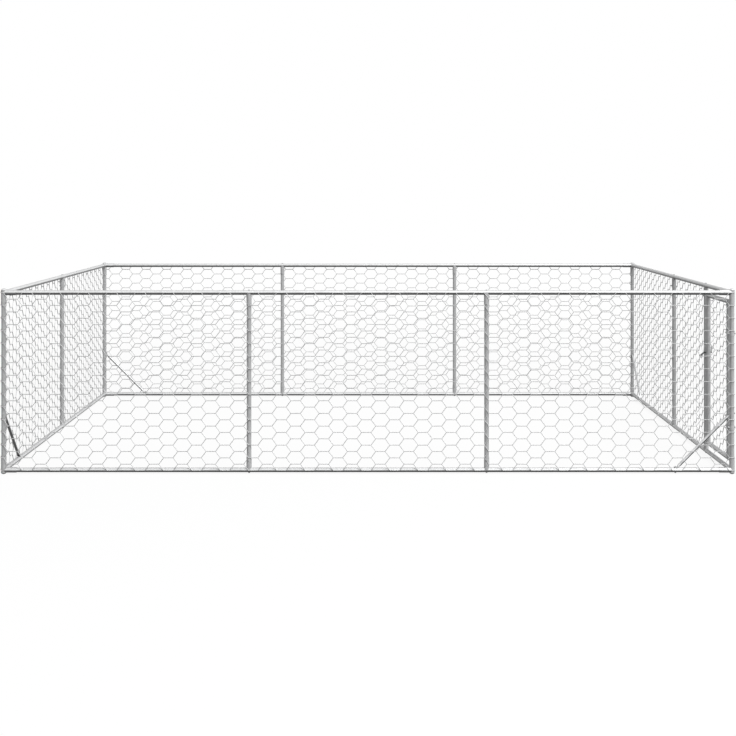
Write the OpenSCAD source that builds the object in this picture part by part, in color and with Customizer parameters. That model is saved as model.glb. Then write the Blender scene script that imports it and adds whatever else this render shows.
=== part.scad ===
// Outdoor dog kennel run: an open-topped pen of galvanised tube, covered with hexagonal wire netting.
// The width runs along X, the front is at -Y, the gate is in the front half of the +X side, and Z is up.
// The origin is on the ground, in the middle of the run.

/* [Run] */
// Width between the corner post centres
run_w = 5960; // [4000:10:8000]
// Depth between the corner post centres
run_d = 3960; // [3000:10:6000]
// Height between the bottom and top rail centres
run_h = 1451; // [1100:1:2000]
// Height of the bottom rail centres above the ground
rail_z = 33; // [27:0.5:60]
// Spacing of the two middle posts on the front and on the back
post_spacing = 1944; // [1200:1:2600]

/* [Tubes] */
// Outer diameter of the rails, posts and gate tubes
tube_d = 38; // [28:0.5:42]
// Wall of the rails, posts and gate tubes
tube_wall = 1.2; // [0.8:0.1:2]

/* [Corner fittings] */
// Reach of each sleeve from the centre of the corner
sleeve_reach = 105; // [80:1:140]
// Wall of the sleeves
fitting_wall = 2.9; // [2:0.1:4]
// Distance of the tube ends from the centre of the corner
tube_stop = 24; // [22:0.5:40]
// Radius of the rounded foot under a corner post
foot_round = 26; // [23:0.5:40]
// Radius of the flat that the foot stands on
foot_flat = 10; // [6:0.5:14]

/* [Post sockets] */
// Reach of a socket from the rail centre
socket_reach = 104; // [90:1:140]
// Wall of a socket
socket_wall = 2.4; // [1.5:0.1:2.8]
// Thickness of the socket floor above the rail
socket_floor = 6; // [3:0.5:10]
// Height of the socket's lip above the rail centre
socket_lip = 2; // [1:0.5:8]
// Height of the cross bolt above the rail centre
cross_bolt_z = 86; // [60:1:120]

/* [Braces] */
// Distance of the brace's bends from the corner, along the rail and up the post
brace_leg = 450; // [300:1:700]
// Outer diameter of a brace
brace_d = 24; // [14:0.5:28]
// Wall of a brace
brace_wall = 1.2; // [0.8:0.1:2]
// Width of the tab
tab_w = 30; // [20:0.5:36]
// Thickness of the tab
tab_t = 3; // [2:0.1:5]
// Distance of the bolt hole from the bend
tab_hole = 13; // [12:0.5:30]
// Distance of the bolt hole from the end of the tab
tab_end = 11; // [9:0.5:20]
// Length over which the tube flattens into the tab
tab_blend = 44; // [25:1:60]
// Diameter of the drain hole at each end of a brace
drain_d = 5; // [3:0.5:6]
// Distance of the drain hole from the flattened end
drain_in = 12; // [8:1:30]

/* [Gate] */
// Distance of the hinge stile from the corner post
hinge_gap = 90; // [80:1:120]
// Width of the gate between its stile centres
gate_w = 635; // [500:1:900]
// Distance of the gate rails from the top and bottom rails
gate_clear = 80; // [60:1:150]
// Height of the lower hinge above the bottom rail
hinge_low = 348; // [220:1:500]
// Height of the upper hinge above the bottom rail
hinge_high = 1116; // [700:1:1300]
// Height of the hinge bands
band_h = 36; // [30:1:50]
// Wall of the hinge bands and the latch collar
band_wall = 2.7; // [2:0.1:2.9]
// Diameter of the hinge pin
pin_d = 12; // [8:0.5:14]
// Wall of the hinge eye round the pin
eye_wall = 4; // [3:0.5:6]
// Height of the lug under the pin
lug_h = 12; // [8:0.5:14]
// Height of the hinge eye
eye_h = 20; // [14:0.5:22]

/* [Latch] */
// Height of the latch pivot above the bottom rail
latch_h = 847; // [500:1:1050]
// Height of the latch collar
collar_h = 28; // [20:1:40]
// Diameter of the fork's rod
rod_d = 10; // [8:0.5:12]
// Reach of the tines past the latch post
tine_past = 16; // [8:1:30]
// Half width of the fork's eye between the collar ears
fork_eye_half = 8.2; // [6:0.1:10]
// Wall of the fork's eye round the pivot bolt
fork_eye_wall = 4; // [3:0.5:5]
// Thickness of the collar ears
ear_t = 4; // [3:0.5:5]
// Thickness of the fork's web
web_t = 5; // [3:0.5:5.5]
// Sideways reach of the thumb lever, towards the inside
lever_out = 29; // [10:1:40]
// Drop of the thumb lever
lever_drop = 27; // [5:1:30]
// Diameter of the thumb lever at its end
grip_d = 18; // [10:0.5:24]

/* [Netting] */
// Thickness of the netting
net_t = 2.4; // [1.5:0.1:3]
// Width of a netting strand
net_strand = 4.5; // [3:0.1:6]
// Rows of meshes between the rails
net_rows = 4; // [3:1:5]
// Columns of meshes between the middle posts on the front and back
bay_columns = 5; // [3:2:7]
// Columns of meshes in half of a side
side_columns = 5; // [3:1:6]
// Columns of meshes across the gate
gate_columns = 2; // [2:2:4]
// Share of a column's width that its slanted sides take
mesh_slant = 0.33; // [0.15:0.01:0.4]

/* [Fasteners] */
// Diameter of the bolts
bolt_d = 8; // [6:0.5:8]
// Width across the flats of heads and nuts
head_af = 13; // [10:0.5:13]
// Height of a bolt head
head_h = 5.3; // [4:0.1:6]
// Height of a nut
nut_h = 6.5; // [5:0.1:7]
// Length of thread past a nut
bolt_tail = 3; // [1:0.5:5]

/* [Clearances] */
// Radial slip of a tube in its sleeve, socket or band
slip = 0.1; // [0.05:0.05:0.3]
// Radial clearance of a bolt in its hole
hole_clear = 0.25; // [0.2:0.05:0.5]
// Radial clearance of a nut on its bolt
thread_clear = 0.1; // [0.05:0.05:0.2]
// Radial clearance of the hinge pin and of the latch pivot
pin_clear = 0.05; // [0.02:0.01:0.1]
// Gap between the netting and the widest fitting under it
net_clear = 0.4; // [0.3:0.1:1]
// Gap between faces that slide or rest on each other
rest_gap = 0.3; // [0.2:0.05:0.6]
// Gap between a tine and the netting, and between the fork and the latch post
fork_clear = 2.2; // [1:0.1:5]
// Gap at the gate's mitred corners
weld_gap = 0.1; // [0.05:0.05:0.3]
// Room between a bolt head and the edge of the netting
edge_room = 2; // [1:0.5:5]

/* [Hidden] */
$fn = 64;
shank_sides = 12;
hole_sides = 8;
hex_sides = 6;
past = 1;

tube_r = tube_d / 2;
seat_r = tube_r + slip;
fitting_r = seat_r + fitting_wall;
socket_r = seat_r + socket_wall;
band_r = seat_r + band_wall;
head_r = head_af / 2 / cos(180 / hex_sides);
tab_len = tab_t / 2 + tab_hole + tab_end;
half_w = run_w / 2;
half_d = run_d / 2;
top_z = rail_z + run_h;

net_out = fitting_r + net_clear;
net_edge = head_r + edge_room + net_strand;

rod_r = rod_d / 2;
knuckle_r = rod_r + 0.3;
grip_r = grip_d / 2;
fork_eye_r = bolt_d / 2 + pin_clear + fork_eye_wall;
pivot_out = band_r + fork_eye_r + rest_gap;
// The raised fork leans on the latch stile, with its crossbar just above the collar.
lean_in = pivot_out - seat_r - rod_r - rest_gap;
lean_up = collar_h / 2 + rod_r + rest_gap;
crossbar_out = norm([lean_in, lean_up]);
fork_lean = atan2(lean_in, lean_up);
latch_gap = pivot_out + crossbar_out + rod_r + fork_clear + tube_r;
tine_len = latch_gap + tube_r + tine_past - pivot_out - crossbar_out;
tine_x = net_out + net_t + fork_clear + rod_r;
ear_x = fork_eye_half + rest_gap;
ear_r = fork_eye_r + 1;
collar_outer_x = ear_x + ear_t;

hinge_y = -half_d + hinge_gap / 2;
hinge_stile_y = -half_d + hinge_gap;
latch_stile_y = hinge_stile_y + gate_w;
latch_y = latch_stile_y + latch_gap;
gate_low_z = rail_z + gate_clear;
gate_high_z = top_z - gate_clear;
gate_h = gate_high_z - gate_low_z;
latch_z = rail_z + latch_h;
eye_r = pin_d / 2 + pin_clear + eye_wall;
lug_low = -band_h / 2;
eye_low = lug_low + lug_h + rest_gap;

// Corners: name, side along X, side along Y
CORNERS = [["front_left", -1, -1], ["front_right", 1, -1], ["back_left", -1, 1], ["back_right", 1, 1]];
// Ends of a post: name, side along Z
LEVELS = [["bottom", -1], ["top", 1]];
// Middle posts: name, X, Y and the turn that points -Y out of the run
POSTS = [
    ["mid_post_front_left", -post_spacing / 2, -half_d, 0],
    ["mid_post_front_right", post_spacing / 2, -half_d, 0],
    ["mid_post_back_left", -post_spacing / 2, half_d, 180],
    ["mid_post_back_right", post_spacing / 2, half_d, 180],
    ["mid_post_left", -half_w, 0, 270],
    ["mid_post_right", half_w, 0, 90],
    ["latch_post", half_w, latch_y, 90]
];
// Braces: name, corner X and Y, and the turn that points +X along the braced rail
BRACES = [
    ["brace_left", -half_w, -half_d, 90],
    ["brace_back", -half_w, half_d, 0],
    ["brace_right", half_w, half_d, 270],
    ["brace_front", half_w, -half_d, 180]
];
// Gate hinges: name, height
HINGES = [["lower", rail_z + hinge_low], ["upper", rail_z + hinge_high]];
// Rails: name, 0 along X or 1 along Y, side of the run
SIDES = [["front", 0, -1], ["back", 0, 1], ["left", 1, -1], ["right", 1, 1]];

// A straight tube that stands on the XY plane.
module tube(len, d = tube_d, wall = tube_wall) {
    difference() {
        cylinder(d = d, h = len);
        translate([0, 0, -past]) cylinder(d = d - 2 * wall, h = len + 2 * past);
    }
}

// A bolt hole through a piece, centred on the origin and along Z.
module drill(len) {
    cylinder(r = (bolt_d / 2 + hole_clear) / cos(180 / hole_sides), h = len, center = true, $fn = hole_sides);
}

// A hexagon bolt whose head ends at the XY plane and whose shank runs up Z through a grip and a nut.
module hex_bolt(grip) {
    translate([0, 0, -head_h]) cylinder(r = head_r, h = head_h, $fn = hex_sides);
    translate([0, 0, -head_h / 2])
        cylinder(d = bolt_d, h = head_h / 2 + grip + nut_h + bolt_tail, $fn = shank_sides);
}

// The nut that stands on the XY plane.
module hex_nut() {
    difference() {
        cylinder(r = head_r, h = nut_h, $fn = hex_sides);
        translate([0, 0, -past])
            cylinder(r = bolt_d / 2 / cos(180 / shank_sides) + thread_clear, h = nut_h + 2 * past, $fn = shank_sides);
    }
}

// Places a child at a middle post, with -Y pointing out of the run.
module at_post(p) {
    translate([p[1], p[2], 0]) rotate([0, 0, p[3]]) children();
}

// Places a child at a rail's height, upside down at the top rail.
module at_level(level) {
    translate([0, 0, level < 0 ? rail_z : top_z]) mirror([0, 0, level < 0 ? 0 : 1]) children();
}

// Places a child at the foot of a braced corner, with +X along the braced rail.
module at_brace(b) {
    translate([b[1], b[2], rail_z]) rotate([0, 0, b[3]]) children();
}

// The brace's bolt holes, through the rail and through the corner post.
module brace_drills() {
    translate([brace_leg + tab_hole, 0, 0]) drill(2 * tube_d);
    translate([0, 0, brace_leg + tab_hole]) rotate([0, 90, 0]) drill(2 * tube_d);
}

// A bolt through a tube across the fence, with its head outside.
module cross_bolt(r) {
    translate([0, -r, 0]) rotate([-90, 0, 0]) hex_bolt(2 * r);
}

// The nut of that bolt, inside.
module cross_nut(r) {
    translate([0, r, 0]) rotate([-90, 0, 0]) hex_nut();
}

module corner_post(c) {
    color("silver") difference() {
        translate([c[1] * half_w, c[2] * half_d, rail_z + tube_stop]) tube(run_h - 2 * tube_stop);
        for (b = BRACES) if (b[1] == c[1] * half_w && b[2] == c[2] * half_d) at_brace(b) brace_drills();
        if (c[0] == "front_right") for (h = HINGES)
            translate([half_w, -half_d, h[1]]) rotate([0, 90, 0]) drill(2 * tube_d);
    }
}

// Three sleeves that meet at a corner, with a rounded foot in line with the post.
module three_way() {
    foot_centre = sqrt(pow(foot_round, 2) - pow(foot_flat, 2));
    foot_len = rail_z + sleeve_reach;
    difference() {
        union() {
            translate([0, 0, -rail_z]) rotate_extrude() intersection() {
                square([fitting_r, foot_len]);
                union() {
                    translate([0, foot_centre]) circle(foot_round);
                    translate([0, foot_centre]) square([2 * fitting_r, foot_len]);
                }
            }
            rotate([0, 90, 0]) cylinder(r = fitting_r, h = sleeve_reach);
            rotate([-90, 0, 0]) cylinder(r = fitting_r, h = sleeve_reach);
        }
        for (turn = [[0, 0, 0], [0, 90, 0], [-90, 0, 0]])
            rotate(turn) translate([0, 0, tube_stop - slip]) cylinder(r = seat_r, h = sleeve_reach);
    }
}

module corner_fitting(c, level) {
    color("gainsboro") translate([c[1] * half_w, c[2] * half_d, 0]) at_level(level)
        mirror([c[1] > 0 ? 1 : 0, 0, 0]) mirror([0, c[2] > 0 ? 1 : 0, 0]) three_way();
}

module rail(side, level) {
    half_len = (side[1] == 0 ? half_w : half_d) - tube_stop;
    place = side[1] == 0 ? [0, side[2] * half_d, 0] : [side[2] * half_w, 0, 0];
    color("silver") difference() {
        at_level(level) translate(place) rotate(side[1] == 0 ? [0, 90, 0] : [-90, 0, 0])
            translate([0, 0, -half_len]) tube(2 * half_len);
        for (p = POSTS) if (p[side[1] == 0 ? 2 : 1] == (side[1] == 0 ? place[1] : place[0]))
            at_post(p) at_level(level) drill(2 * tube_d);
        if (level < 0) for (b = BRACES) if (b[0] == str("brace_", side[0])) at_brace(b) brace_drills();
    }
}

module mid_post(p) {
    seat = tube_r + socket_floor + slip;
    color("silver") at_post(p) difference() {
        translate([0, 0, rail_z + seat]) tube(run_h - 2 * seat);
        for (l = LEVELS) at_level(l[1]) translate([0, 0, cross_bolt_z]) rotate([90, 0, 0]) drill(2 * tube_d);
    }
}

// A cup that sits across a rail and holds the end of a post.
module socket() {
    difference() {
        translate([0, 0, socket_lip]) cylinder(r = socket_r, h = socket_reach - socket_lip);
        rotate([0, 90, 0]) cylinder(r = seat_r, h = 3 * socket_r, center = true);
        translate([0, 0, tube_r + socket_floor]) cylinder(r = seat_r, h = socket_reach);
        drill(3 * socket_r);
        translate([0, 0, cross_bolt_z]) rotate([90, 0, 0]) drill(3 * socket_r);
    }
}

module post_sockets(level) {
    color("gainsboro") for (p = POSTS) at_post(p) at_level(level) socket();
}

// The end of a brace, which widens up to its tab as two flats close in on it.
module flattened_end() {
    full = brace_d / 2 + past;
    intersection() {
        cylinder(r1 = tab_w / 2, r2 = brace_d / 2, h = tab_blend);
        rotate([90, 0, 0]) linear_extrude(2 * tab_w, center = true)
            polygon([[-tab_t / 2, -past], [tab_t / 2, -past], [tab_t / 2, 0], [full, tab_blend], [full, tab_blend + past],
                [-full, tab_blend + past], [-full, tab_blend], [-tab_t / 2, 0]]);
    }
}

// A straight tube between a tab on the rail and a tab on the corner post, flattened at both ends.
// The drain holes on its underside let out the zinc and the rain.
module brace(b) {
    tab_mid = seat_r + tab_t / 2;
    len = (brace_leg - tab_mid) * sqrt(2);
    color("silver") at_brace(b) difference() {
        union() {
            translate([brace_leg, 0, tab_mid]) rotate([0, -45, 0]) {
                translate([0, 0, tab_blend]) difference() {
                    tube(len - 2 * tab_blend, brace_d, brace_wall);
                    for (z = [drain_in, len - 2 * tab_blend - drain_in])
                        translate([0, 0, z]) rotate([0, -90, 0]) cylinder(d = drain_d, h = brace_d);
                }
                for (end = [0, 1]) translate([0, 0, end * len]) mirror([0, 0, end]) flattened_end();
            }
            translate([brace_leg - tab_t / 2, -tab_w / 2, seat_r]) cube([tab_len, tab_w, tab_t]);
            translate([seat_r, -tab_w / 2, brace_leg - tab_t / 2]) cube([tab_t, tab_w, tab_len]);
        }
        brace_drills();
    }
}

// Keeps the part of a convex outline where sign * (limit - coordinate) is not negative.
function clipped(outline, axis, sign, limit) = [
    for (i = [0:len(outline) - 1])
        let (a = outline[i], b = outline[(i + 1) % len(outline)])
        let (da = sign * (limit - a[axis]), db = sign * (limit - b[axis]))
        each concat(da >= 0 ? [a] : [], da * db < 0 ? [a + (b - a) * da / (da - db)] : [])
];

// The part of a convex outline that lies in a rectangle.
function in_rectangle(outline, low, high) =
    clipped(clipped(clipped(clipped(outline, 0, 1, high[0]), 0, -1, low[0]), 1, 1, high[1]), 1, -1, low[1]);

// The opening of one mesh, a hexagon with level top and bottom edges.
function mesh_opening(centre, pitch, rise) =
    let (slant = mesh_slant * pitch, edge = pitch - slant, half = rise / 2, strand = net_strand / 2)
    let (tip = edge / 2 + slant - strand * norm([slant, half]) / half)
    let (level = half - strand, shoulder = tip - slant * level / half)
    [for (q = [[tip, 0], [shoulder, level], [-shoulder, level], [-tip, 0], [-shoulder, -level], [shoulder, -level]])
        centre + q];

// Flat hexagonal netting with an edge strand, drawn upright. A column of meshes is centred on anchor.
module hex_net(low, high, anchor, pitch, rows) {
    rise = (high[1] - low[1]) / rows;
    strand = [net_strand / 2, net_strand / 2];
    first = floor((low[0] - anchor) / pitch);
    last = ceil((high[0] - anchor) / pitch);
    // A sliver at the edge, narrower than two strands, is left closed.
    openings = [
        for (i = [first:last], j = [-1:rows])
            let (centre = [anchor + i * pitch, low[1] + (j + 0.5 + (i % 2 == 0 ? 0 : 0.5)) * rise])
            let (o = in_rectangle(mesh_opening(centre, pitch, rise), low + strand, high - strand))
            if (len(o) > 2) let (xs = [for (q = o) q[0]], zs = [for (q = o) q[1]])
            if (min(max(xs) - min(xs), max(zs) - min(zs)) > 2 * net_strand) o
    ];
    outline = [low - strand, [high[0], low[1]] + [strand[0], -strand[1]], high + strand,
        [low[0], high[1]] + [-strand[0], strand[1]]];
    starts = [for (k = 0, n = 4; k < len(openings); n = n + len(openings[k]), k = k + 1) n];
    linear_extrude(net_t) polygon(
        points = concat(outline, [for (o = openings) each o]),
        paths = concat([[0, 1, 2, 3]], [for (k = [0:len(openings) - 1]) [for (i = [0:len(openings[k]) - 1]) starts[k] + i]])
    );
}

module net(side) {
    sign = side[2];
    if (side[1] == 0) {
        pitch = post_spacing / bay_columns;
        color("lightgray") translate([0, sign * (half_d + net_out) + (sign > 0 ? net_t : 0), 0]) rotate([90, 0, 0])
            hex_net([-half_w - net_edge, rail_z], [half_w + net_edge, top_z], pitch / 2, pitch, net_rows);
    } else {
        low = side[0] == "right" ? latch_y : -half_d;
        pitch = side[0] == "right" ? -latch_y / (side_columns - 2) : half_d / side_columns;
        color("lightgray") translate([sign * (half_w + net_out) - (sign < 0 ? net_t : 0), 0, 0]) rotate([90, 0, 90])
            hex_net([low - net_edge, rail_z], [half_d + net_edge, top_z], 0, pitch, net_rows);
    }
}

module saddle_bolts() {
    grip = tube_r + socket_floor + seat_r;
    color("darkgray") for (p = POSTS, l = LEVELS) at_post(p) at_level(l[1])
        translate([0, 0, -seat_r]) hex_bolt(grip);
}

module saddle_nuts() {
    color("darkgray") for (p = POSTS, l = LEVELS) at_post(p) at_level(l[1])
        translate([0, 0, tube_r + socket_floor]) hex_nut();
}

module socket_bolts() {
    color("darkgray") for (p = POSTS, l = LEVELS) at_post(p) at_level(l[1])
        translate([0, 0, cross_bolt_z]) cross_bolt(socket_r + slip);
}

module socket_nuts() {
    color("darkgray") for (p = POSTS, l = LEVELS) at_post(p) at_level(l[1])
        translate([0, 0, cross_bolt_z]) cross_nut(socket_r + slip);
}

// Each brace has one bolt up through the rail and one out of the post, with the heads outside.
module brace_bolts() {
    color("darkgray") for (b = BRACES) at_brace(b) {
        translate([brace_leg + tab_hole, 0, -seat_r]) hex_bolt(2 * seat_r + tab_t);
        translate([-seat_r, 0, brace_leg + tab_hole]) rotate([0, 90, 0]) hex_bolt(2 * seat_r + tab_t);
    }
}

module brace_nuts() {
    color("darkgray") for (b = BRACES) at_brace(b) {
        translate([brace_leg + tab_hole, 0, seat_r + tab_t]) hex_nut();
        translate([seat_r + tab_t, 0, brace_leg + tab_hole]) rotate([0, 90, 0]) hex_nut();
    }
}

// A band round the corner post with a lug that carries the upright hinge pin.
module post_hinge(h) {
    color("gainsboro") translate([half_w, -half_d, h[1]]) {
        difference() {
            union() {
                cylinder(r = band_r, h = band_h, center = true);
                translate([-eye_r, 0, lug_low]) cube([2 * eye_r, hinge_gap / 2, lug_h]);
                translate([0, hinge_gap / 2, lug_low]) cylinder(r = eye_r, h = lug_h);
                translate([0, hinge_gap / 2, lug_low + past])
                    cylinder(d = pin_d, h = lug_h + eye_h + 2 * rest_gap + bolt_tail - past);
            }
            cylinder(r = seat_r, h = 2 * band_h, center = true);
            rotate([0, 90, 0]) drill(3 * band_r);
        }
    }
}

// A band round the hinge stile with an eye that turns on the pin.
module gate_hinge(h) {
    color("gainsboro") translate([half_w, hinge_stile_y, h[1]]) {
        difference() {
            union() {
                cylinder(r = band_r, h = band_h, center = true);
                translate([-pin_d / 2, -hinge_gap / 2, eye_low]) cube([pin_d, hinge_gap / 2, eye_h]);
                translate([0, -hinge_gap / 2, eye_low]) cylinder(r = eye_r, h = eye_h);
            }
            cylinder(r = seat_r, h = 2 * band_h, center = true);
            translate([0, -hinge_gap / 2, 0]) cylinder(r = pin_d / 2 + pin_clear, h = 2 * band_h, center = true);
            rotate([0, 90, 0]) drill(3 * band_r);
        }
    }
}

// The bolts that hold a pair of hinge bands on their tube, with their nuts inside.
module hinge_bolts(y) {
    color("darkgray") for (h = HINGES) translate([half_w, y, h[1]]) rotate([0, 0, 90]) {
        cross_bolt(band_r + slip);
        cross_nut(band_r + slip);
    }
}

// A gate tube along Z between two mitred corners, with the inside of the gate at +Y.
module mitred_tube(len) {
    reach = 3 * tube_d;
    difference() {
        translate([0, 0, -tube_r]) tube(len + tube_d);
        for (cut = [[len, -45], [0, -135]]) translate([0, 0, cut[0]]) rotate([cut[1], 0, 0])
            translate([-reach / 2, -reach / 2, -weld_gap / 2]) cube(reach);
    }
}

module gate_hinge_stile() {
    color("silver") difference() {
        translate([half_w, hinge_stile_y, gate_low_z]) mitred_tube(gate_h);
        for (h = HINGES) translate([half_w, hinge_stile_y, h[1]]) rotate([0, 90, 0]) drill(2 * tube_d);
    }
}

module gate_latch_stile() {
    color("silver") translate([half_w, latch_stile_y, gate_low_z]) mirror([0, 1, 0]) mitred_tube(gate_h);
}

module gate_bottom_rail() {
    color("silver") translate([half_w, hinge_stile_y, gate_low_z]) mirror([0, 0, 1]) rotate([-90, 0, 0])
        mitred_tube(gate_w);
}

module gate_top_rail() {
    color("silver") translate([half_w, hinge_stile_y, gate_high_z]) rotate([-90, 0, 0]) mitred_tube(gate_w);
}

// The gate's net lies on its tubes, under the bolt heads of the hinge bands.
module gate_net() {
    color("lightgray") translate([half_w + tube_r + rest_gap, 0, 0]) rotate([90, 0, 90])
        hex_net([hinge_stile_y - net_edge, gate_low_z], [latch_stile_y + net_edge, gate_high_z],
            hinge_stile_y, gate_w / gate_columns, net_rows);
}

// A ring on the latch stile with two ears that hold the fork's pivot bolt.
module latch_collar() {
    color("gainsboro") translate([half_w, latch_stile_y, latch_z]) difference() {
        union() {
            cylinder(r = band_r, h = collar_h, center = true);
            for (side = [-1, 1]) translate([side * (ear_x + ear_t / 2), 0, 0]) {
                translate([-ear_t / 2, 0, -ear_r]) cube([ear_t, pivot_out, 2 * ear_r]);
                translate([0, pivot_out, 0]) rotate([0, 90, 0]) cylinder(r = ear_r, h = ear_t, center = true);
            }
        }
        cylinder(r = seat_r, h = 2 * collar_h, center = true);
        translate([0, pivot_out, 0]) rotate([0, 90, 0])
            cylinder(r = bolt_d / 2 + pin_clear, h = 4 * collar_outer_x, center = true);
    }
}

// The bolt that the fork turns on, with its head outside.
module latch_pivot_bolt() {
    color("darkgray") translate([half_w + collar_outer_x + slip, latch_stile_y + pivot_out, latch_z])
        rotate([0, -90, 0]) {
            translate([0, 0, -head_h]) cylinder(r = head_r, h = head_h, $fn = hex_sides);
            cylinder(d = bolt_d, h = 2 * (collar_outer_x + slip));
            cylinder(d = bolt_d, h = 2 * (collar_outer_x + slip) + nut_h + bolt_tail, $fn = shank_sides);
        }
}

module latch_pivot_nut() {
    color("darkgray") translate([half_w - collar_outer_x - slip, latch_stile_y + pivot_out, latch_z])
        rotate([0, -90, 0]) hex_nut();
}

// A forked rod that swings down over the latch post. Its thumb lever, on the inside, widens to a grip.
// It is parked upright.
module latch_fork() {
    lever_len = norm([lever_out, lever_drop]);
    color("gainsboro") translate([half_w, latch_stile_y + pivot_out, latch_z]) rotate([fork_lean, 0, 0])
        difference() {
            union() {
                rotate([0, 90, 0])
                    cylinder(r = fork_eye_r, h = 2 * fork_eye_half, center = true);
                translate([-fork_eye_half, -web_t / 2, 0]) cube([2 * fork_eye_half, web_t, crossbar_out]);
                translate([0, 0, crossbar_out]) rotate([0, 90, 0])
                    cylinder(r = rod_r, h = 2 * tine_x, center = true);
                for (side = [-1, 1]) translate([side * tine_x, 0, crossbar_out]) {
                    sphere(knuckle_r);
                    cylinder(r = rod_r, h = tine_len);
                    translate([0, 0, tine_len]) sphere(knuckle_r);
                }
                translate([-tine_x, 0, crossbar_out]) rotate([0, atan2(-lever_out, -lever_drop), 0]) {
                    cylinder(r1 = rod_r, r2 = grip_r, h = lever_len);
                    translate([0, 0, lever_len]) sphere(grip_r + 0.3);
                }
            }
            rotate([0, 90, 0]) cylinder(r = bolt_d / 2 + pin_clear, h = 4 * fork_eye_half, center = true);
        }
}

for (c = CORNERS) corner_post(c);
for (c = CORNERS, l = LEVELS)
    corner_fitting(c, l[1]);
for (s = SIDES, l = LEVELS) rail(s, l[1]);
for (p = POSTS) mid_post(p);
for (l = LEVELS) post_sockets(l[1]);
for (b = BRACES) brace(b);
for (s = SIDES) net(s);
saddle_bolts();
saddle_nuts();
socket_bolts();
socket_nuts();
brace_bolts();
brace_nuts();
for (h = HINGES) post_hinge(h);
hinge_bolts(-half_d);  // post_hinge_bolts
gate_hinge_stile();
gate_latch_stile();
gate_bottom_rail();
gate_top_rail();
gate_net();
for (h = HINGES) gate_hinge(h);
hinge_bolts(hinge_stile_y);  // gate_hinge_bolts
latch_collar();
latch_pivot_bolt();
latch_pivot_nut();
latch_fork();
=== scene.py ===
"""Outdoor dog kennel run: galvanised tube, hexagonal netting, a hinged gate and a fork latch."""
import math

import bmesh
import bpy
from mathutils import Matrix, Vector


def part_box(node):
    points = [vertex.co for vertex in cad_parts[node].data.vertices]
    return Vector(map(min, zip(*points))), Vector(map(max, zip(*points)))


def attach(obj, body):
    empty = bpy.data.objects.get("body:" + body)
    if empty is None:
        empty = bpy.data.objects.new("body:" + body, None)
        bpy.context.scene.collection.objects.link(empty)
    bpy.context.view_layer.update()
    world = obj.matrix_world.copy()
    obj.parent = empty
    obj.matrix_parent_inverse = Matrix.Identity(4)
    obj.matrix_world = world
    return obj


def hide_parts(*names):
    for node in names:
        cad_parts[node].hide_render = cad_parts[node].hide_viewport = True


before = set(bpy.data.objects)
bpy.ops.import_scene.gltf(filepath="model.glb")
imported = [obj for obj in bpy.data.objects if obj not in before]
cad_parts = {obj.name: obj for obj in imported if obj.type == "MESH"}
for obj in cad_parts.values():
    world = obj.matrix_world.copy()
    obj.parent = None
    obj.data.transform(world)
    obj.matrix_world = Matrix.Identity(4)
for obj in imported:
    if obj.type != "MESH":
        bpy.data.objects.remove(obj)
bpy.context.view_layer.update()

# Rails, posts and gate tubes.
# Round steel tube, hot-dip galvanised after it is cut and drilled, so each length shows faint zinc flakes.
# The tubes slide into the corner sleeves and post sockets and are bolted there.


class Value:
    """A socket of a node tree. Sums on it add Math nodes, and make adds any other node."""

    def __init__(self, tree, socket=None):
        self.tree = tree
        self.socket = socket

    def make(self, kind, inputs=None, out=0, **settings):
        node = self.tree.nodes.new(kind)
        for name, setting in settings.items():
            setattr(node, name, setting)
        for name, given in (inputs or {}).items():
            for one in given if isinstance(given, list) else [given]:
                if isinstance(one, Value):
                    self.tree.links.new(one.socket, node.inputs[name])
                else:
                    node.inputs[name].default_value = one
        return Value(self.tree, node.outputs[out])

    def sum(self, operation, left, right):
        return self.make("ShaderNodeMath", {0: left, 1: right}, operation=operation)

    def __add__(self, other):
        return self.sum("ADD", self, other)

    def __radd__(self, other):
        return self.sum("ADD", other, self)

    def __sub__(self, other):
        return self.sum("SUBTRACT", self, other)

    def __rsub__(self, other):
        return self.sum("SUBTRACT", other, self)

    def __mul__(self, other):
        return self.sum("MULTIPLY", self, other)

    def __rmul__(self, other):
        return self.sum("MULTIPLY", other, self)

    def __truediv__(self, other):
        return self.sum("DIVIDE", self, other)

    def __mod__(self, other):
        return self.sum("FLOORED_MODULO", self, other)

    def __lt__(self, other):
        return self.sum("LESS_THAN", self, other)

    def __gt__(self, other):
        return self.sum("GREATER_THAN", self, other)


CLOUDS_PER_METRE = 7.0
GRAINS_PER_METRE = 900.0
GRAIN_DEPTH = 0.0004
GRAIN_STRENGTH = 0.15
FLAKE_TONE = 0.16
CLOUD_TONE = 0.16
FLAKE_GLOSS = 0.16
CLOUD_GLOSS = 0.10
TOP_DARK_FROM = 0.5
TOP_DARK_TO = 0.9
TOP_DARKENING = 0.32


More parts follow.
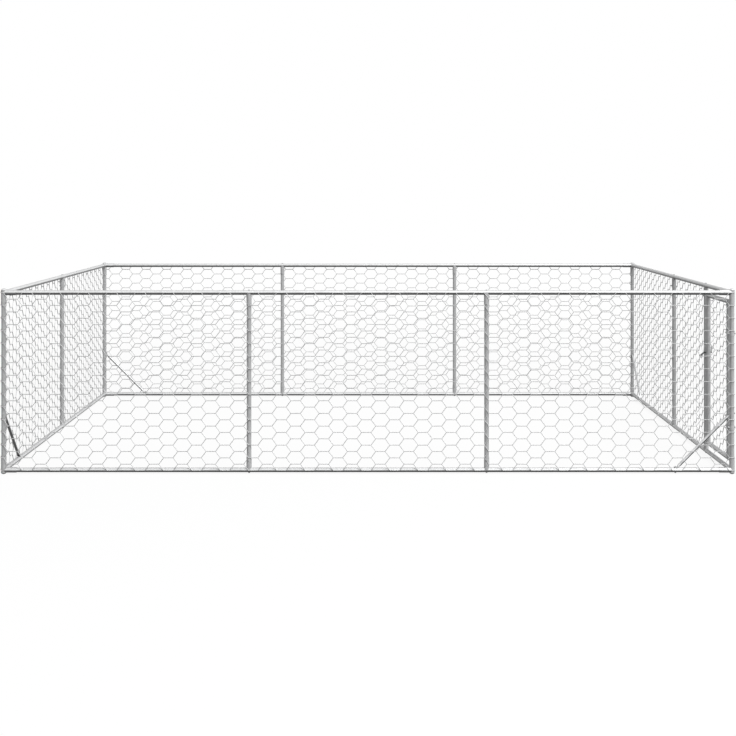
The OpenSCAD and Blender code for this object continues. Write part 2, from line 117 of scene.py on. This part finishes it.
def galvanised(name, zinc, flake, roughness, metallic, shade_strength, shade_from=0.06, shade_to=-0.18,
               painted_shade_end=None):
    """Zinc-coated steel with flakes of the given width in metres.

    It has painted shade where it faces the ground, between two upward parts of its normal, and is darker on
    top.
    A painted-shade end is given as an axis, the places along it where the painted shade starts and where it
    is full, and how much of the zinc's brightness it keeps there.
    """
    material = bpy.data.materials.new(name)
    material.use_nodes = True
    shader = material.node_tree.nodes["Principled BSDF"]
    shader.inputs["Metallic"].default_value = metallic
    start = Value(material.node_tree)
    place = start.make("ShaderNodeTexCoord", out="Object")
    flakes = start.make("ShaderNodeTexVoronoi", {"Vector": place, "Scale": 1 / flake}, out="Color")
    tint = start.make("ShaderNodeSeparateColor", {0: flakes}) - 0.5
    clouds = start.make("ShaderNodeTexNoise", {"Vector": place, "Scale": CLOUDS_PER_METRE, "Detail": 4.0})
    cloud = clouds - 0.5
    grain = start.make("ShaderNodeTexNoise", {"Vector": place, "Scale": GRAINS_PER_METRE, "Detail": 2.0})
    normal = start.make("ShaderNodeNewGeometry", out="Normal")
    up = start.make("ShaderNodeSeparateXYZ", {0: normal}, out="Z")
    # Painted shade: the colour darkens where the normal points down.
    painted_shade_below = start.make("ShaderNodeMapRange", {"Value": up, 1: shade_from, 2: shade_to, 3: 0.0, 4: shade_strength})
    # The colour darkens where the normal points up.
    darker_on_top = start.make("ShaderNodeMapRange", {"Value": up, 1: TOP_DARK_FROM, 2: TOP_DARK_TO, 3: 0.0, 4: TOP_DARKENING})
    tone = (1.0 + tint * FLAKE_TONE + cloud * CLOUD_TONE) * (1.0 - painted_shade_below) * (1.0 - darker_on_top)
    if painted_shade_end:
        axis_name, shade_starts, shade_full, kept_share = painted_shade_end
        along = start.make("ShaderNodeSeparateXYZ", {0: place}, out=axis_name)
        tone = tone * start.make("ShaderNodeMapRange", {
            "Value": along, 1: shade_starts, 2: shade_full, 3: 1.0, 4: kept_share})
    colour = start.make("ShaderNodeVectorMath", {0: zinc, "Scale": tone}, operation="SCALE")
    rough = roughness + tint * FLAKE_GLOSS + cloud * CLOUD_GLOSS
    bump = start.make("ShaderNodeBump", {
        "Strength": GRAIN_STRENGTH, "Distance": GRAIN_DEPTH, "Height": grain})
    for socket, given in (("Base Color", colour), ("Roughness", rough), ("Normal", bump)):
        material.node_tree.links.new(given.socket, shader.inputs[socket])
    return material


def finish_nodes(material, names):
    """Gives CAD nodes a material in place of the frame's plain one."""
    for name in names:
        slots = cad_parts[name].data.materials
        slots.clear()
        slots.append(material)


ZINC = (0.80, 0.805, 0.81)
node_names = sorted(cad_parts)
# Each zinc below is painted darker on its downward side, as painted shade.
tube_zinc = galvanised("galvanised tube", ZINC, flake=0.009, roughness=0.42, metallic=0.15,
                       shade_strength=0.88, shade_from=0.17, shade_to=-0.2)
tube_starts = ("corner_post_", "rail_", "mid_post_", "latch_post")
gate_tubes = ["gate_hinge_stile", "gate_latch_stile", "gate_bottom_rail", "gate_top_rail"]
finish_nodes(tube_zinc, [n for n in node_names if n.startswith(tube_starts)] + gate_tubes)

# Corner fittings and post sockets.
# Three sleeves pressed and welded from sheet at each corner, and a cup across the rail at each middle post.
# They are dipped after welding, so their zinc is thicker and smoother than the tube's, with wider flakes.
fitting_zinc = galvanised("galvanised fitting", ZINC, flake=0.013, roughness=0.36,
                          metallic=0.15, shade_strength=0.85, shade_from=0.17, shade_to=-0.2)
finish_nodes(fitting_zinc, [n for n in node_names if n.startswith(("corner_fitting_", "post_sockets_"))])

# Corner braces.
# Thin tube with both ends pressed flat, bolted on the rail and on the post at each bottom corner.
brace_zinc = galvanised("galvanised brace", ZINC, flake=0.007, roughness=0.40, metallic=0.15,
                        shade_strength=0.9, shade_from=0.1, shade_to=-0.2)
finish_nodes(brace_zinc, ["brace_left", "brace_back", "brace_right", "brace_front"])

# Bolts and nuts.
# Zinc-plated hexagon bolts, with their heads outside the run and their nuts inside.
# The outer heads of the hinge bolts are painted dark, as painted shade.
PLATING = (0.66, 0.665, 0.67)
HEAD_FADE = 0.01
HEAD_KEPT = 0.12


def middle_of(node):
    """The middle of a node's box."""
    low_corner, high_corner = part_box(node)
    return (low_corner + high_corner) / 2


plated_zinc = galvanised("plated fastener", PLATING, flake=0.004, roughness=0.34, metallic=0.2, shade_strength=0.6)
hinge_post_x = middle_of("corner_post_front_right").x
# Painted shade on the bolt heads outside the hinge post.
painted_shade_heads = ("X", hinge_post_x - HEAD_FADE, hinge_post_x + HEAD_FADE, HEAD_KEPT)
hinge_plating = galvanised("hinge fastener", PLATING, flake=0.004, roughness=0.36, metallic=0.2,
                           shade_strength=0.4, painted_shade_end=painted_shade_heads)
hinge_fasteners = ["post_hinge_bolts", "gate_hinge_bolts"]
fasteners = [n for n in node_names if n.endswith(("bolts", "nuts", "pivot_bolt", "pivot_nut"))]
finish_nodes(plated_zinc, [n for n in fasteners if n not in hinge_fasteners])
finish_nodes(hinge_plating, [n for n in fasteners if n in hinge_fasteners])

# Gate hinges, latch collar and fork.
# Bands pressed round the tubes, with the hinge pins and the fork bent or welded from round bar.
# The fork's crossbar and thumb lever are painted dark, as painted shade.
hardware_zinc = galvanised("galvanised hardware", (0.62, 0.625, 0.63), flake=0.010, roughness=0.38,
                           metallic=0.2, shade_strength=0.6)
finish_nodes(hardware_zinc, ["post_hinge_lower", "post_hinge_upper", "gate_hinge_lower", "gate_hinge_upper",
                             "latch_collar"])
FORK_UNSHADED_ABOVE = 0.031
FORK_DARK_BELOW = 0.025
FORK_KEPT = 0.2
pivot_z = middle_of("latch_pivot_bolt").z
# Painted shade on the fork below a level just above its pivot.
painted_shade_fork = ("Z", pivot_z + FORK_UNSHADED_ABOVE, pivot_z + FORK_DARK_BELOW, FORK_KEPT)
fork_steel = galvanised("latch fork", PLATING, flake=0.006, roughness=0.45, metallic=0.1,
                        shade_strength=0.2, painted_shade_end=painted_shade_fork)
finish_nodes(fork_steel, ["latch_fork"])

# Netting on the four sides and on the gate.
# Soft galvanised wire woven by machine: each pair of wires is twisted along the level edge of a mesh
# and then parts into two slanting single wires. It is stretched over the outside of the frame.
WIRE = 0.005
SIDE_WIRE = 0.0056
TWIST_SHARE = 0.17
FRONT_PITCH = 0.1155
SIDE_PITCH = 0.1025
EDGE_SHARE = 0.667
MESH_ROWS = 14
GATE_ROWS = 12.5
BACK_LIFT = 0.0055
SIDE_LIFT = 0.0065
TWISTS = 2.0
TWIST_STEPS = 5
WIRE_SIDES = 4
SHORTEST_EDGE = 0.006
LAY_GAP = 0.0001
FRONT_COLUMN = -0.0122
BACK_COLUMN = 0.143
LEFT_COLUMN = 0.0615
RIGHT_COLUMN = 0.0105
GATE_COLUMN = -1.901
# The wire's downward side is painted dark, as painted shade.
wire_zinc = galvanised("netting wire", (0.86, 0.865, 0.87), flake=0.004, roughness=0.45, metallic=0.05,
                       shade_strength=0.95, shade_from=-0.06, shade_to=-0.3)


def new_tree(name, inputs):
    """Starts a geometry tree with named inputs and returns it, its values and its modifier identifiers."""
    tree = bpy.data.node_groups.new(name, "GeometryNodeTree")
    tree.interface.new_socket("Geometry", in_out="OUTPUT", socket_type="NodeSocketGeometry")
    ids = {}
    inputs = [("Points", "Geometry")] + inputs
    for label, kind in inputs:
        socket = tree.interface.new_socket(label, in_out="INPUT", socket_type="NodeSocket" + kind)
        ids[label] = socket.identifier
    entry = tree.nodes.new("NodeGroupInput")
    values = {label: Value(tree, entry.outputs[label]) for label, kind in inputs}
    return tree, values, ids


def end_tree(tree, geometry, material):
    """Realizes the instances, smooths them, sets their material and sends them out."""
    real = geometry.make("GeometryNodeRealizeInstances", {0: geometry})
    smooth = real.make("GeometryNodeSetShadeSmooth", {0: real})
    done = smooth.make("GeometryNodeSetMaterial", {0: smooth, "Material": material})
    exit_node = tree.nodes.new("NodeGroupOutput")
    tree.links.new(done.socket, exit_node.inputs[0])


def made(tree, ids, inputs, turn, points=None):
    """Runs a tree with the given inputs and points and returns its mesh, turned and moved into place."""
    holder = bpy.data.objects.new("holder", points or bpy.data.meshes.new("holder"))
    bpy.context.collection.objects.link(holder)
    modifier = holder.modifiers.new("make", "NODES")
    modifier.node_group = tree
    for label, given in inputs.items():
        modifier[ids[label]] = given
    ready = holder.evaluated_get(bpy.context.evaluated_depsgraph_get())
    mesh = bpy.data.meshes.new_from_object(ready)
    mesh.transform(turn)
    bpy.data.objects.remove(holder)
    return mesh


def piece(name, meshes, body):
    """Joins meshes of one material into one piece that rides on a body."""
    joined = bmesh.new()
    for mesh in meshes:
        joined.from_mesh(mesh)
    for face in joined.faces:
        face.material_index = 0
    whole = bpy.data.meshes.new(name)
    joined.to_mesh(whole)
    joined.free()
    whole.materials.append(next(m for m in meshes[0].materials if m))
    thing = bpy.data.objects.new(name, whole)
    bpy.context.collection.objects.link(thing)
    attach(thing, body)
    return thing


def wire_along(curve, wire):
    """Sweeps a round wire along a curve."""
    section = curve.make("GeometryNodeCurvePrimitiveCircle", {"Resolution": WIRE_SIDES, "Radius": wire / 2})
    return curve.make("GeometryNodeCurveToMesh", {0: curve, 1: section, "Fill Caps": True})


net_tree, n, net_ids = new_tree("hexagonal netting", [
    ("First column", "Int"), ("Columns", "Int"), ("Rows", "Int"), ("Pitch", "Float"), ("Rise", "Float"),
    ("Height", "Float"), ("Edge", "Float"), ("Wire", "Float"), ("Column zero", "Float"), ("Low end", "Float"),
    ("High end", "Float"), ("Material", "Material")])
index = n["Rise"].make("GeometryNodeInputIndex")
column = n["First column"] + index % n["Columns"]
row = index.make("ShaderNodeMath", {0: index / n["Columns"]}, operation="FLOOR")
level = (row + (column % 2) / 2) * n["Rise"]
middle = n["Column zero"] + column * n["Pitch"]
low = index.sum("MAXIMUM", middle - n["Edge"] / 2, n["Low end"])
high = index.sum("MINIMUM", middle + n["Edge"] / 2, n["High end"])
top = n["Height"]
count = n["Columns"] * (n["Rows"] + 1)
slack = 0.0005
edge_place = index.make("ShaderNodeCombineXYZ", {0: (low + high) / 2, 2: level})
edge_points = index.make("GeometryNodePoints", {"Count": count, "Position": edge_place})
edge_stretch = index.make("ShaderNodeCombineXYZ", {0: (high - low) / n["Edge"], 1: 1.0, 2: 1.0})
edge_kept = ((high - low) > SHORTEST_EDGE) * (level < top + slack)
strands = []
for turned in (0.0, math.pi):
    helix = index.make("GeometryNodeCurveSpiral", {
        "Resolution": TWIST_STEPS, "Rotations": TWISTS, "Height": n["Edge"],
        "Start Radius": n["Wire"] * TWIST_SHARE, "End Radius": n["Wire"] * TWIST_SHARE})
    spun = index.make("GeometryNodeTransform", {0: helix, "Rotation": (0.0, 0.0, turned)})
    back = index.make("ShaderNodeCombineXYZ", {0: 0 - n["Edge"] / 2})
    laid = index.make("GeometryNodeTransform", {
        0: spun, "Translation": back, "Rotation": (0.0, math.pi / 2, 0.0)})
    strands.append(wire_along(laid, n["Wire"]))
twisted = index.make("GeometryNodeJoinGeometry", {0: strands})
grown = [index.make("GeometryNodeInstanceOnPoints", {
    0: edge_points, "Selection": edge_kept, "Instance": twisted, "Scale": edge_stretch})]
slant_place = index.make("ShaderNodeCombineXYZ", {0: middle, 2: level})
slant_points = index.make("GeometryNodePoints", {"Count": count, "Position": slant_place})
from_edge = middle + n["Edge"] / 2
to_edge = middle + n["Pitch"] - n["Edge"] / 2
slant_inside = (from_edge > n["Low end"] - slack) * (to_edge < n["High end"] + slack) * (level < top + slack)
for way in (1.0, -1.0):
    far = level + way * n["Rise"] / 2
    kept = slant_inside * (far < top + slack) * (far > 0 - slack)
    line = index.make("GeometryNodeCurvePrimitiveLine", {
        "Start": index.make("ShaderNodeCombineXYZ", {0: n["Edge"] / 2}),
        "End": index.make("ShaderNodeCombineXYZ", {0: n["Pitch"] - n["Edge"] / 2, 2: way * n["Rise"] / 2})})
    grown.append(index.make("GeometryNodeInstanceOnPoints", {
        0: slant_points, "Selection": kept, "Instance": wire_along(line, n["Wire"])}))
end_tree(net_tree, index.make("GeometryNodeJoinGeometry", {0: grown}), n["Material"])


def netting(name, node, body, turn, base, height, rows, pitch, wire, column_zero, low_end, high_end):
    """Fine netting over a frame opening, in place of the node's coarse net."""
    first = math.floor((low_end - column_zero) / pitch) - 1
    last = math.ceil((high_end - column_zero) / pitch) + 1
    mesh = made(net_tree, net_ids, {
        "First column": first, "Columns": last - first + 1, "Rows": math.ceil(rows), "Pitch": pitch,
        "Rise": height / rows, "Height": height, "Edge": EDGE_SHARE * pitch, "Wire": wire,
        "Column zero": column_zero, "Low end": low_end, "High end": high_end, "Material": wire_zinc},
        turn @ Matrix.Translation((0, 0, base)))
    net = piece(name, [mesh], body)
    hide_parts(node)
    return net


rail_low = middle_of("rail_front_bottom").z
rail_high = middle_of("rail_front_top").z
run_height = rail_high - rail_low
corner = middle_of("corner_post_back_right")
post_radius = (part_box("corner_post_back_right")[1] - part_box("corner_post_back_right")[0]).x / 2
net_out = post_radius + SIDE_WIRE * (0.5 + TWIST_SHARE) + LAY_GAP
front_plane = -corner.y - net_out
back_plane = corner.y + net_out
left_plane = -corner.x - net_out
right_plane = corner.x + net_out
along_y = Matrix.Rotation(math.pi / 2, 4, "Z")
latch_post_y = middle_of("latch_post").y
netting("netting_front", "net_front", "frame", Matrix.Translation((0, front_plane, 0)),
        base=rail_low, height=run_height, rows=MESH_ROWS, pitch=FRONT_PITCH, wire=WIRE,
        column_zero=FRONT_COLUMN, low_end=-corner.x - post_radius, high_end=corner.x + post_radius)
netting("netting_back", "net_back", "frame", Matrix.Translation((0, back_plane, 0)),
        base=rail_low + BACK_LIFT, height=run_height, rows=MESH_ROWS, pitch=FRONT_PITCH, wire=WIRE,
        column_zero=BACK_COLUMN, low_end=-corner.x - post_radius, high_end=corner.x + post_radius)
netting("netting_left", "net_left", "frame", Matrix.Translation((left_plane, 0, 0)) @ along_y,
        base=rail_low + SIDE_LIFT, height=run_height, rows=MESH_ROWS, pitch=SIDE_PITCH, wire=SIDE_WIRE,
        column_zero=LEFT_COLUMN, low_end=-corner.y - post_radius, high_end=corner.y + post_radius)
netting("netting_right", "net_right", "frame", Matrix.Translation((right_plane, 0, 0)) @ along_y,
        base=rail_low + SIDE_LIFT, height=run_height, rows=MESH_ROWS, pitch=SIDE_PITCH, wire=SIDE_WIRE,
        column_zero=RIGHT_COLUMN, low_end=latch_post_y - post_radius, high_end=corner.y + post_radius)
gate_low = middle_of("gate_bottom_rail").z
gate_high = middle_of("gate_top_rail").z
hinge_stile_y = middle_of("gate_hinge_stile").y
latch_stile_y = middle_of("gate_latch_stile").y
netting("netting_gate", "gate_net", "gate", Matrix.Translation((right_plane, 0, 0)) @ along_y,
        base=gate_low + SIDE_LIFT, height=gate_high - gate_low, rows=GATE_ROWS, pitch=SIDE_PITCH,
        wire=SIDE_WIRE, column_zero=GATE_COLUMN,
        low_end=hinge_stile_y - post_radius, high_end=latch_stile_y + post_radius)

# Wire ties.
# At each end of a net its wires take a turn round the corner post, over the sleeve near the rails.
# Its colour is painted brighter than the net's, as a painted highlight.
TIE_WIRE = 0.004
TIE_LEAD = 0.004
TIE_TURNS = 1.2
TIE_STEPS = 14
SLEEVE_REACH = 0.107
SLEEVE_WALL = 0.003
HINGE_ROOM = 0.03
# Painted highlight: the tie wire's colour is brighter than the net's.
tie_zinc = galvanised("tie wire", (0.94, 0.945, 0.95), flake=0.004, roughness=0.40, metallic=0.05,
                      shade_strength=0.7)
tie_tree, t, tie_ids = new_tree("wire ties", [("Wire", "Float"), ("Lead", "Float"), ("Material", "Material")])
reach = t["Wire"].make("GeometryNodeInputNamedAttribute", {"Name": "reach"}, data_type="FLOAT")
ring = reach.make("GeometryNodeCurveSpiral", {
    "Resolution": TIE_STEPS, "Rotations": TIE_TURNS, "Height": t["Lead"],
    "Start Radius": 1.0, "End Radius": 1.0})
half_down = reach.make("ShaderNodeCombineXYZ", {2: 0 - t["Lead"] / 2})
ring_low = reach.make("GeometryNodeTransform", {0: ring, "Translation": half_down})
ring_size = reach.make("ShaderNodeCombineXYZ", {0: reach, 1: reach, 2: 1.0})
rings = reach.make("GeometryNodeInstanceOnPoints", {0: t["Points"], "Instance": ring_low, "Scale": ring_size})
loops = wire_along(reach.make("GeometryNodeRealizeInstances", {0: rings}), t["Wire"])
end_tree(tie_tree, loops, t["Material"])


def wire_ties(name, body, places):
    """Ties round upright tubes. A place is a point on the tube's axis and how far out the wire lies."""
    points = bpy.data.meshes.new("ties")
    points.from_pydata([place for place, out in places], [], [])
    points.attributes.new("reach", "FLOAT", "POINT")
    for number, (place, out) in enumerate(places):
        points.attributes["reach"].data[number].value = out
    mesh = made(tie_tree, tie_ids, {"Wire": TIE_WIRE, "Lead": TIE_LEAD, "Material": tie_zinc},
                Matrix.Identity(4), points)
    return piece(name, [mesh], body)


on_tube = post_radius + TIE_WIRE / 2
on_sleeve = on_tube + SLEEVE_WALL
rise = run_height / MESH_ROWS
hinge_levels = [middle_of(node).z for node in ("post_hinge_lower", "post_hinge_upper")]
post_places = []
for x_side in (-1, 1):
    for y_side in (-1, 1):
        hinged = (x_side, y_side) == (1, -1)
        for row_number in range(1, MESH_ROWS):
            tie_z = rail_low + row_number * rise
            if hinged and min(abs(tie_z - level_z) for level_z in hinge_levels) < HINGE_ROOM:
                continue
            near_end = min(tie_z - rail_low, rail_high - tie_z) < SLEEVE_REACH
            place = (x_side * corner.x, y_side * corner.y, tie_z)
            post_places.append((place, on_sleeve if near_end else on_tube))
wire_ties("ties_corner_posts", "frame", post_places)

# Floor.
# A plain white studio floor that keeps a soft shadow under the rails.
FLOOR_REACH = 60.0
floor_mesh = bpy.data.meshes.new("floor")
floor_corners = [(-FLOOR_REACH, -FLOOR_REACH), (FLOOR_REACH, -FLOOR_REACH), (FLOOR_REACH, FLOOR_REACH),
                 (-FLOOR_REACH, FLOOR_REACH)]
floor_mesh.from_pydata([(x, y, 0.0) for x, y in floor_corners], [], [(0, 1, 2, 3)])
floor = bpy.data.objects.new("floor", floor_mesh)
bpy.context.collection.objects.link(floor)
floor_white = bpy.data.materials.new("floor white")
floor_white.use_nodes = True
floor_tree = floor_white.node_tree
floor_tree.nodes.clear()


def seen_directly(start):
    """1 for what the camera sees straight on, in metal or through glass, and 0 for the light in between."""
    path = start.make("ShaderNodeLightPath")
    paths = path.socket.node.outputs
    camera, glossy, through = (Value(start.tree, paths[p]) for p in (
        "Is Camera Ray", "Is Glossy Ray", "Is Transmission Ray"))
    return start.sum("MAXIMUM", start.sum("MAXIMUM", camera, glossy), through)


WHITE = (1.0, 1.0, 1.0, 1.0)
FLOOR_GREY = 0.25
FLOOR_PALE = 0.95
SHADOW_SHARE = 0.08
SHADOW_NEAR = 4.0
SHADOW_FAR = 12.0
floor_start = Value(floor_tree)
floor_seen = seen_directly(floor_start)
floor_place = floor_start.make("ShaderNodeTexCoord", out="Object")
floor_far = floor_start.make("ShaderNodeVectorMath", {0: floor_place}, out="Value", operation="LENGTH")
shadow_room = floor_start.make("ShaderNodeMapRange", {
    "Value": floor_far, 1: SHADOW_NEAR, 2: SHADOW_FAR, 3: SHADOW_SHARE, 4: 0.0})
floor_tone = FLOOR_GREY + floor_seen * (FLOOR_PALE - FLOOR_GREY)
paper_colour = floor_start.make("ShaderNodeCombineColor", {0: floor_tone, 1: floor_tone, 2: floor_tone})
paper = floor_start.make("ShaderNodeBsdfDiffuse", {"Color": paper_colour})
glow = floor_start.make("ShaderNodeEmission", {"Color": WHITE, "Strength": 1.0})
floor_mix = floor_start.make("ShaderNodeMixShader", {0: floor_seen * (1 - shadow_room), 1: paper, 2: glow})
floor_out = floor_tree.nodes.new("ShaderNodeOutputMaterial")
floor_tree.links.new(floor_mix.socket, floor_out.inputs["Surface"])
floor_mesh.materials.append(floor_white)

# Light.
# A large soft lamp, high in front and to the right, and an even white room around the run.
ROOM_LIGHT = 0.25
LAMP_WIDTH = 14.0
LAMP_WATTS = 8800.0
LAMP_PLACE = (12.4, -15.8, 22.3)
world = bpy.data.worlds.new("white room")
bpy.context.scene.world = world
world.use_nodes = True
room_tree = world.node_tree
room_tree.nodes.clear()
room = Value(room_tree)
seen = seen_directly(room)
room_strength = ROOM_LIGHT + seen * (1 - ROOM_LIGHT)
backdrop = room.make("ShaderNodeBackground", {"Color": WHITE, "Strength": room_strength})
room_out = room_tree.nodes.new("ShaderNodeOutputWorld")
room_tree.links.new(backdrop.socket, room_out.inputs["Surface"])
lamp_data = bpy.data.lights.new("soft lamp", "AREA")
lamp_data.shape = "RECTANGLE"
lamp_data.size = LAMP_WIDTH
lamp_data.size_y = LAMP_WIDTH
lamp_data.energy = LAMP_WATTS
lamp = bpy.data.objects.new("soft lamp", lamp_data)
lamp.location = LAMP_PLACE
lamp.rotation_euler = Vector(lamp.location).to_track_quat("Z", "Y").to_euler()
bpy.context.collection.objects.link(lamp)

# Camera.
# It stands level in front of the run and looks over the front rail,
# with the horizon above the picture's middle.
camera_data = bpy.data.cameras.new("camera")
camera_data.sensor_width = 36.0
camera_data.lens = 62.27
camera_data.shift_x = -0.0029
camera_data.shift_y = -0.2368
camera = bpy.data.objects.new("camera", camera_data)
camera.location = (0.019, -12.40, 2.293)
camera.rotation_euler = (math.pi / 2, 0.0, 0.0)
bpy.context.collection.objects.link(camera)
bpy.context.scene.camera = camera
bpy.context.scene.view_settings.view_transform = "Standard"
